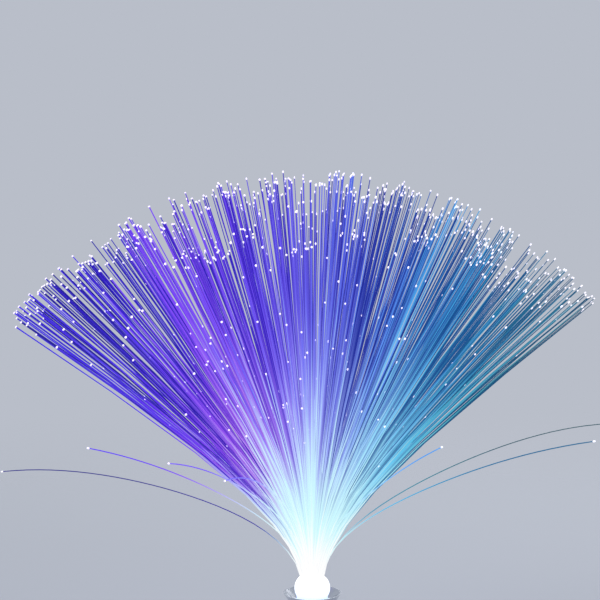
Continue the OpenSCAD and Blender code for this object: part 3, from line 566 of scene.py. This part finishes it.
# Stray fibres: azimuth, lean beyond that of the least leaning one, droop, share of the spray's length, tone
STRAYS = np.array([
    (34, 11, 22, 1.03, 0.25), (72, 2, 8, 0.97, 0.4), (100, 7, 14, 0.945, 0.3), (128, 4, 10, 0.95, 0.4),
    (158, 15, 24, 0.91, 0.1), (232, 0, 13, 0.9, 0.9), (249, 0, 17, 0.95, 1), (258, 0, 23, 0.98, 1),
    (290, 0, 8, 0.9, 0.7), (312, 1, 14, 1, 0.4)])

FIBRE_R = 0.25 * MM
FIBRE_SIDES = 5
BEAD_R = 0.44 * MM
BEAD_SIZES = (0.75, 1.15)        # least and most, in bead radii
BEAD_LENS = (0.8 * MM, 1.3 * MM)
LEFT_WIDER = 0.55                # the beads furthest left are wider by this part,
LEFT_SHORTER = 0.5               # and shorter by this
RIGHT_NARROWER = 0.2
STRAY_BEAD_LEN = 1.4 * MM
PATH_STEPS = 72
# Places of the shafts' rings, as parts of the way to the bead
SHAFT_SHARES = np.array([0, 0.04, 0.09, 0.16, 0.27, 0.45, 0.72])
STRAY_SHARES = np.linspace(0, 0.96, 25)
BEAD_PLACES = np.array([1.0, 0.7, 0.25, 0.0])      # in bead lengths back from the tip
BEAD_WIDTHS = np.array([0.5, 1.0, 1.0, 0.55])      # in bead radii
SINK = 1.2 * MM                  # how deep in the collar the fibres start
LOOK = 1.5 * MM                  # a fibre's direction is taken over this far either way
ASIDE = np.array([0.03, 1.0, 0.05])                # a direction that no fibre takes


def sunflower(count, turn=0.0):
    """Evenly strewn places in the unit circle: place k is sqrt((k + 1/2) / count) out and k golden angles
    round, from a first turn."""
    k = np.arange(count)
    r = np.sqrt((k + 0.5) / count)
    return np.stack([r * np.cos(k * GOLDEN_ANGLE + turn), r * np.sin(k * GOLDEN_ANGLE + turn)], axis=1)


def chance(k, n):
    """A number between 0 and 1 that looks like chance: the part behind the point of
    43758.5 * sin(127.1 k + 311.7 n degrees)."""
    v = 43758.5 * np.sin(np.radians(127.1 * k + 311.7 * n))
    return v - np.floor(v)


def between(limits, share):
    """The number that lies this share of the way from the first of two limits to the second."""
    return limits[0] + (limits[1] - limits[0]) * share


def lean_to(place):
    """Full lean, as a level vector in degrees, of a fibre drawn to a place in the unit circle: that place
    times the outermost lean, less LEAN_LEFT times the cosine of its azimuth."""
    cosine = place[:, :1] / np.hypot(place[:, :1], place[:, 1:])
    return (LEAN - LEAN_LEFT * cosine) * place


def fibre_lines(root, lean, shift, droop, length, bend_len):
    """Middle line of each fibre at PATH_STEPS + 1 places.

    At the length s the level lean is lean * (share + (1 - share) * (1 - exp(-s / bend))) plus
    shift * (1 - exp(-(s / clump length)^2)), and droop * (s / length)^2 is added to its size. The sine and
    cosine of that angle, summed along s, carry the fibre outward and upward.
    """
    t = (np.arange(PATH_STEPS) + 0.5) / PATH_STEPS
    s = length[:, None] * t
    bend = NECK_SHARE + (1 - NECK_SHARE) * (1 - np.exp(-s / bend_len))
    level = lean[:, None] * bend[..., None] + shift[:, None] * (1 - np.exp(-(s / CLUMP_LEN) ** 2))[..., None]
    size = np.linalg.norm(level, axis=2)
    tilt = np.radians(size + droop[:, None] * t ** 2)[..., None]
    steps = np.concatenate([level / size[..., None] * np.sin(tilt), np.cos(tilt)], axis=2)
    steps *= length[:, None, None] / PATH_STEPS
    line = np.concatenate([np.zeros_like(steps[:, :1]), np.cumsum(steps, axis=1)], axis=1)
    line[..., :2] += root[:, None]
    line[..., 2] += NECK_Z
    return line


def on_lines(lines, length, places):
    """Points at the lengths places on each line, by straight steps between its path points."""
    at = np.clip(places / length[:, None], 0, 1) * PATH_STEPS
    low = np.clip(np.floor(at).astype(int), 0, PATH_STEPS - 1)
    part = (at - low)[..., None]
    rows = np.arange(len(lines))[:, None]
    return lines[rows, low] * (1 - part) + lines[rows, low + 1] * part


def fibre_shapes(lines, length, shares, bead, bead_len):
    """Tubes along the lines that swell into a bead at the tip and start SINK below the collar's top. A point
    is its ring's centre plus radius * (side * cos(q) + up * sin(q)), with side and up square to the line.
    Returns the points, the faces, each face's material number and the number of points in a fibre."""
    count = len(lines)
    places = np.concatenate([shares * (length - bead_len)[:, None],
                             length[:, None] - bead_len[:, None] * BEAD_PLACES], axis=1)
    centres = on_lines(lines, length, places)
    ahead = on_lines(lines, length, np.minimum(places + LOOK, length[:, None]))
    behind = on_lines(lines, length, np.maximum(places - LOOK, 0))
    along = ahead - behind
    along /= np.linalg.norm(along, axis=2, keepdims=True)
    side = np.cross(along, np.broadcast_to(ASIDE, along.shape))
    side /= np.linalg.norm(side, axis=2, keepdims=True)
    up = np.cross(along, side)
    centres[:, 0, 2] -= SINK
    radius = np.concatenate([np.full((count, len(shares)), FIBRE_R), bead[:, None] * BEAD_WIDTHS], axis=1)
    q = np.arange(FIBRE_SIDES)[:, None] * 2 * math.pi / FIBRE_SIDES
    ring = side[:, :, None] * np.cos(q) + up[:, :, None] * np.sin(q)
    points = (centres[:, :, None] + ring * radius[:, :, None, None]).reshape(-1, 3)
    rings = places.shape[1]
    per_fibre = rings * FIBRE_SIDES
    starts = np.arange(count)[:, None] * per_fibre
    quads = (grid_faces(rings, FIBRE_SIDES)[None] + starts[:, None]).reshape(-1, 4)
    row = np.tile(np.repeat(np.arange(rings - 1), FIBRE_SIDES), count)
    root_ends = starts + np.arange(FIBRE_SIDES)[::-1]
    tip_ends = starts + per_fibre - FIBRE_SIDES + np.arange(FIBRE_SIDES)
    faces = quads.tolist() + root_ends.tolist() + tip_ends.tolist()
    indices = np.concatenate([row >= len(shares), np.zeros(count), np.ones(count)])
    return points, faces, indices, per_fibre


def fibre_piece(name, lines, length, shares, tone, bead, bead_len, node):
    """Many fibres as one piece, with the shaft's and the tip's materials and a tone for each fibre."""
    points, faces, indices, per_fibre = fibre_shapes(lines, length, shares, bead, bead_len)
    piece = put_piece(name, points, faces, [FIBRE, TIP], "spray", [node], indices)
    attribute = piece.data.attributes.new("tone", "FLOAT", "POINT")
    attribute.data.foreach_set("value", np.repeat(tone, per_fibre).astype(np.float32))


def make_spray():
    """Each fibre starts at its own sunflower place on the bundle, and its clump's middle, the nearest of the
    clumps' sunflower places, draws it aside. The first ones are cut as unevenly as the solid strands, and
    the extra ones clump by clump, but for a share of short ones whose tips show inside the spray. Towards
    the sides all are a little shorter. The less an extra one is drawn to its clump, the dimmer it is, so that
    the gaps between clumps look deep, and the right side, which is sparser in the photograph, is dimmer."""
    flat = np.array([1, EXTRA_DEPTH])
    own = np.concatenate([sunflower(FIBRE_COUNT), sunflower(EXTRA_COUNT, EXTRA_TURN) * flat])
    left, right = np.maximum(0, -own[:, 0]), np.maximum(0, own[:, 0])
    k = np.arange(len(own))
    extra = k >= FIBRE_COUNT
    middles = CLUMP_REACH * sunflower(CLUMPS)
    clump = np.argmin(((own[:, None] - middles[None]) ** 2).sum(2), axis=1)
    drawn = np.sqrt(chance(k, 6))
    pull = np.where(extra, between(EXTRA_PULL, drawn), CLUMP_PULL)
    lean = lean_to(own)
    shift = lean_to(own + pull[:, None] * (middles[clump] - own)) - lean
    short = chance(k, 2) / np.where(extra, EXTRA_SHORT_SHARE, SHORT_SHARE)
    uneven = UNEVEN_CUT * chance(k, 1) ** (5 - 2 * right)
    together = LEAST_CUT + CLUMP_CUT * chance(clump, 8) ** 5 + OWN_CUT * chance(k, 1) ** 2
    cut = np.where(short < 1, SHORT_CUT * (1 - short / 2), np.where(extra, together, uneven))
    length = SPRAY_LEN * (1 - cut) * (1 - SIDE_CUT * own[:, 0] ** 2)
    droop = np.where(extra, EXTRA_DROOP * chance(k, 7), DROOP)
    lines = fibre_lines(own * ROOT_REACH, lean, shift, droop, length, BEND_LEN)
    bright = np.where(chance(clump, 10) < BRIGHT_SHARE, BRIGHT_TONE, 0)
    tone = CLUMP_TONE * chance(clump, 9) + OWN_TONE * chance(k, 3) + bright
    tone *= np.where(extra, between(EXTRA_TONE, drawn), 1) * (1 - RIGHT_DIM * right)
    bead = BEAD_R * between(BEAD_SIZES, chance(k, 4)) * (1 + LEFT_WIDER * left - RIGHT_NARROWER * right)
    bead_len = between(BEAD_LENS, chance(k, 5)) * (1 - LEFT_SHORTER * left)
    core = np.hypot(own[:, 0], own[:, 1]) < math.sqrt(CORE_COUNT / FIBRE_COUNT)
    sixth = np.floor(np.arctan2(own[:, 1], own[:, 0]) % math.tau / (math.tau / 6)).astype(int)
    groups = [("lit_fibres_core", core, "fiber_core", "fiber_core")]
    for n in range(6):
        slot = "fiber_azure" if n in (0, 5) else "fiber_violet"
        groups.append((f"lit_fibres_{n + 1}", ~core & (sixth == n), f"fiber_tuft_{n + 1}", slot))
    for name, mine, node, slot in groups:
        fibre_piece(name, lines[mine], length[mine], SHAFT_SHARES, tone[mine], bead[mine], bead_len[mine],
                    node)


def make_strays():
    """The stray fibres start on the bundle's rim and hang lower than the spray."""
    azimuth, more_lean, droop, share, tone = STRAYS.T
    out = np.stack([np.cos(np.radians(azimuth)), np.sin(np.radians(azimuth))], axis=1)
    length = share * SPRAY_LEN
    lean = (LEAN + STRAY_LEAN + more_lean)[:, None] * out
    lines = fibre_lines(out * STRAY_PLACE, lean, 0 * lean, droop, length, STRAY_BEND)
    count = len(STRAYS)
    fibre_piece("lit_fibres_stray", lines, length, STRAY_SHARES, tone, np.full(count, BEAD_R),
                np.full(count, STRAY_BEAD_LEN), "stray_fibers")


def make_potting():
    """The clear resin between the fibres, up to the collar's top at its edge and lower by a hollow times
    1 - (r / edge)^4 further in."""
    rings, turns = 9, 64
    edge = BUNDLE_R + 0.02 * MM
    hollow = 0.5 * MM
    depth = 2.5 * MM
    r = np.linspace(0, 1, rings)[:, None] * edge
    angle = np.arange(turns) * 2 * math.pi / turns
    z = NECK_Z - hollow * (1 - (r / r[-1]) ** 4) + 0 * angle
    top = np.stack([r * np.cos(angle), r * np.sin(angle), z], axis=2)
    bottom = top[::-1].copy()
    bottom[..., 2] = NECK_Z - depth
    points = np.concatenate([top, bottom]).reshape(-1, 3)
    weld(put_piece("resin_between_fibres", points, grid_faces(2 * rings, turns), [COLLAR], "spray", ()))


make_spray()
make_strays()
make_potting()


# ---------- Collar ----------

def make_collar():
    """A bead turned from frosted acrylic. Its flank is a circle's arc set out from the axis, its top is flat
    with a soft edge, the sleeve ends in its bore, and a short skirt below it stands in the dish."""
    sleeve_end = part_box("sleeve")[1]
    clearance = 0.05 * MM
    mouth = BUNDLE_R + clearance
    bore = sleeve_end.x + clearance
    skirt_r = bore + 0.9 * MM
    flank_r = 7.1 * MM
    centre = BALL_R - flank_r
    widest = NECK_Z - 4.8 * MM
    lowest, highest = -math.acos((skirt_r - centre) / flank_r), math.asin((NECK_Z - widest) / flank_r)
    flank = np.linspace(lowest, highest, 40)
    arc = np.stack([centre + flank_r * np.cos(flank), widest + flank_r * np.sin(flank)], axis=1)
    rest = rounded([arc[-4], arc[-1], (mouth, NECK_Z), (mouth, sleeve_end.z), (bore, sleeve_end.z),
                    (bore, SEAT_Z), (skirt_r, SEAT_Z), arc[0]],
                   [0, 0.4 * MM, 0.15 * MM, 0, 0, 0.1 * MM, 0.2 * MM, 0])
    points, faces = revolved(np.concatenate([arc[:-4], rest[:-1]]))
    weld(put_piece("frosted_ball_collar", points, faces, [COLLAR], "spray", ["ball_collar"],
                   sharp=math.radians(40)))


make_collar()


# ---------- Cells, springs and leads ----------

# Half outline of a dry cell in millimetres along and out from its axis: flat end, jacket, crimp and button
CELL_OUTLINE = np.array([
    (0.3, 0), (0.3, 4.4), (0.05, 4.9), (0, 6.1), (0.15, 6.5), (0.5, 6.6), (0.55, 6.95), (0.9, 7.1), (39, 7.1),
    (39.1, 7.1), (47.2, 7.1), (47.7, 7.02), (48.1, 6.7), (48.15, 6.3), (47.95, 6.0), (47.95, 3.4),
    (48.2, 2.9), (48.5, 2.7), (49.6, 2.7), (49.9, 2.55), (50, 2.2), (50, 0)])
CELL_FINISHES = [2] * 5 + [0] * 3 + [2] + [1] * 5 + [2] * 7     # jacket 0, end band 1, bare metal 2
CELL_STEPS = 64
SPRING_WIRE = 0.7 * MM
SPRING_SIDES = 10
SPRING_TURNS = 3
SPRING_STEPS = 28                # a turn
SPRING_WIDE = 4.4 * MM
SPRING_NARROW = 2.6 * MM
SPRING_DEPTH = 5.7 * MM
LEAD_R = 0.6 * MM
LEAD_SIDES = 14
# Routes of the leads, in millimetres
LEAD_ROUTES = {
    "lead_battery": [(28.1, -15, 23.2), (28.1, -15, 24.7), (27.3, -12, 26.6), (25.6, 0, 24),
                     (18.1, 12.3, 22.8), (10, 20.8, 22.8), (6, 28.8, 20.4), (3.9, 31.2, 16), (3, 33.5, 13),
                     (3, 35.5, 13)],
    "lead_switch": [(0, 35.5, 13), (0, 33.5, 13), (0.9, 30, 22.8), (5.4, 21, 31.4), (9, 13.5, 39.9),
                    (9, 7.5, 49.1), (9, 4, 55), (9, 4, 57)],
    "lead_return": [(-28.1, 15, 23.2), (-28.1, 15, 24.7), (-27.1, 12, 27.2), (-22.3, 6, 33.1),
                    (-15.8, 3, 40.9), (-10.8, 3, 49.1), (-9, 4, 55), (-9, 4, 57)],
}


def make_cells():
    """Each cell is its half outline carried round the cell's own axis, which lies along X, and in the same
    bay a conical spring presses on its flat end: turns of wire whose radius shrinks evenly to the cell."""
    angle = np.arange(CELL_STEPS) * 2 * math.pi / CELL_STEPS
    t = np.linspace(0, 1, SPRING_TURNS * SPRING_STEPS + 1)
    r = between((SPRING_WIDE, SPRING_NARROW), t)
    turned = 2 * math.pi * SPRING_TURNS * t
    coil = np.stack([SPRING_WIRE / 2 + (SPRING_DEPTH - SPRING_WIRE) * t - SPRING_DEPTH,
                     r * np.cos(turned), r * np.sin(turned)], axis=1)
    spring_points, spring_faces = [], []
    for n in (1, 2, 3):
        low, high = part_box(f"cell_{n}")
        flip = -1 if n == 2 else 1
        start = np.array([(low if flip > 0 else high).x, (low.y + high.y) / 2, (low.z + high.z) / 2])
        along, out = CELL_OUTLINE[:, :1] * MM, CELL_OUTLINE[:, 1:] * MM
        points = np.stack([flip * along + 0 * angle, flip * out * np.cos(angle), out * np.sin(angle)], axis=2)
        faces = grid_faces(len(CELL_OUTLINE), CELL_STEPS)
        weld(put_piece(f"dry_cell_{n}", points.reshape(-1, 3) + start, faces, [JACKET, END_BAND, NICKEL],
                       "base", [f"cell_{n}"], indices=np.repeat(CELL_FINISHES, CELL_STEPS),
                       sharp=math.radians(35)))
        points, faces = round_tube(coil * np.array([flip, flip, 1]) + start, SPRING_WIRE / 2, SPRING_SIDES)
        first = sum(map(len, spring_points))
        spring_faces += [[first + corner for corner in face] for face in faces]
        spring_points.append(points)
    put_piece("conical_contact_springs", np.concatenate(spring_points), spring_faces, [NICKEL], "base",
              ["contact_springs"])


def make_leads():
    """Insulated leads: round tubes on smooth curves through their routes."""
    for node, slot in (("lead_battery", "lead_red"), ("lead_switch", "lead_orange"),
                       ("lead_return", "lead_black")):
        path = smooth_route(np.array(LEAD_ROUTES[node]) * MM)
        points, faces = round_tube(path, LEAD_R, LEAD_SIDES)
        put_piece(f"insulated_{node}", points, faces, [PVC[slot]], "base", [node])


make_cells()
make_leads()


# ---------- Floor and light ----------

PALE = "#b9bec9"
FLOOR_R = 1.6
FLOOR_FADE = (0.35, 1.2)         # from here outwards to there the floor turns clear
WORLD_LIGHT = 0.45
LAMP_MIDDLE = (0, 0, 0.15)


def make_world():
    """Even soft light from all round. The camera, mirrors and glass see the pale background instead."""
    world = bpy.data.worlds.new("studio")
    world.use_nodes = True
    tree = world.node_tree
    tree.nodes.clear()
    path = add_node(tree, "ShaderNodeLightPath")
    bounced = add_node(tree, "ShaderNodeMath", {0: path["Is Glossy Ray"], 1: path["Is Transmission Ray"]},
                       operation="MAXIMUM")[0]
    seen = add_node(tree, "ShaderNodeMath", {0: path["Is Camera Ray"], 1: bounced}, operation="MAXIMUM")[0]
    light = add_node(tree, "ShaderNodeBackground", {"Color": colour("#f4f6fa"), "Strength": WORLD_LIGHT})[0]
    view = add_node(tree, "ShaderNodeBackground", {"Color": colour(PALE), "Strength": 1.0})[0]
    mixed = add_node(tree, "ShaderNodeMixShader", {0: seen, 1: light, 2: view})[0]
    add_node(tree, "ShaderNodeOutputWorld", {"Surface": mixed})
    scene.world = world


def make_floor():
    """A round pale floor that turns clear towards its edge, so that no horizon shows."""
    rings, turns = 24, 96
    r = np.linspace(0, FLOOR_R, rings)[:, None]
    angle = np.arange(turns) * 2 * math.pi / turns
    points = np.stack([r * np.cos(angle), r * np.sin(angle), 0 * r * angle], axis=2).reshape(-1, 3)
    mesh = bpy.data.meshes.new("floor")
    mesh.from_pydata(points.tolist(), [], grid_faces(rings, turns).tolist())
    floor = bpy.data.objects.new("floor", mesh)
    scene.collection.objects.link(floor)
    weld(floor)
    material, tree, shader = new_material("pale_paper_floor", Roughness=0.9, Base_Color=colour(PALE))
    coords = add_node(tree, "ShaderNodeTexCoord")["Object"]
    distance = add_node(tree, "ShaderNodeVectorMath", {0: coords}, operation="LENGTH")["Value"]
    fade = add_node(tree, "ShaderNodeMapRange", {"Value": distance, "From Min": FLOOR_FADE[0],
                                                 "From Max": FLOOR_FADE[1]},
                    interpolation_type="SMOOTHSTEP")[0]
    clear = add_node(tree, "ShaderNodeBsdfTransparent")[0]
    solid = tree.nodes["Principled BSDF"].outputs[0]
    mixed = add_node(tree, "ShaderNodeMixShader", {0: fade, 1: solid, 2: clear})[0]
    tree.links.new(mixed, tree.nodes["Material Output"].inputs["Surface"])
    mesh.materials.append(material)


def soft_light(name, place, size, power, tint="#ffffff"):
    """A round soft light aimed at the lamp's middle."""
    data = bpy.data.lights.new(name, "AREA")
    data.shape = "DISK"
    data.size = size
    data.energy = power
    data.color = colour(tint)[:3]
    light = bpy.data.objects.new(name, data)
    aim(light, place, LAMP_MIDDLE)
    scene.collection.objects.link(light)


make_world()
make_floor()
soft_light("key", (-0.9, -1.1, 1.3), 0.9, 15)
soft_light("fill", (1.2, -0.7, 0.8), 1.1, 6, "#eef3ff")
soft_light("rim", (0.4, 1.3, 1.0), 0.9, 8)
scene.view_settings.view_transform = "Standard"
